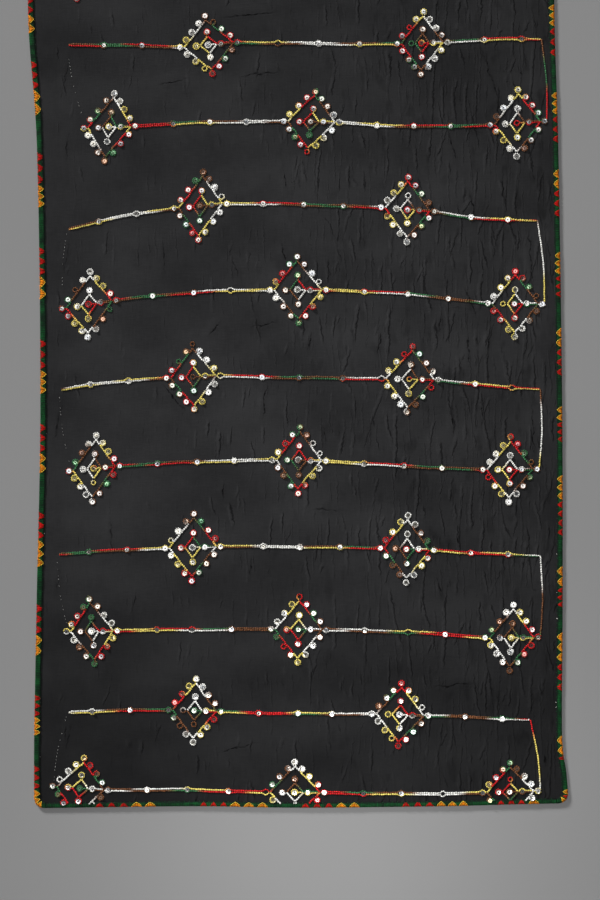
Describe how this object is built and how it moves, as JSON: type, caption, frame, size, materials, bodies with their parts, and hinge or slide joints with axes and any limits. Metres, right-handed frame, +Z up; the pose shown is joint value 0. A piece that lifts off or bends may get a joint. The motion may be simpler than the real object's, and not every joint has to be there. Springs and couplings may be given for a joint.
{
  "type": "embroidered chiffon dupatta",
  "caption": "Long rectangular sheer scarf laid flat in one layer, edged all round with a folded woven braid and crossed by embroidered rows of diamonds.",
  "frame": {"origin": "on the surface that the cloth lies on, below the middle of the whole cloth", "axes": "+X across the width to the right, +Y along the length from the near end to the far end, +Z up, away from the surface"},
  "size_m": [0.9249, 2.2495, 0.0036],
  "materials": {
    "black_chiffon": "sheer crepe chiffon, black, matt with a faint sheen, finely crinkled",
    "woven_braid": "dark green braid with woven red and orange triangles, matt to silky",
    "embroidery_thread": "variegated rayon thread in white, yellow, red, green and brown, silky",
    "silver_sequin": "small cupped silver sequins, bright and slightly tilted"
  },
  "bodies": {
    "root": {"chiffon_panel": "black_chiffon", "left_trim": "woven_braid", "right_trim": "woven_braid", "near_trim": "woven_braid", "far_trim": "woven_braid"}
  },
  "joints": []
}
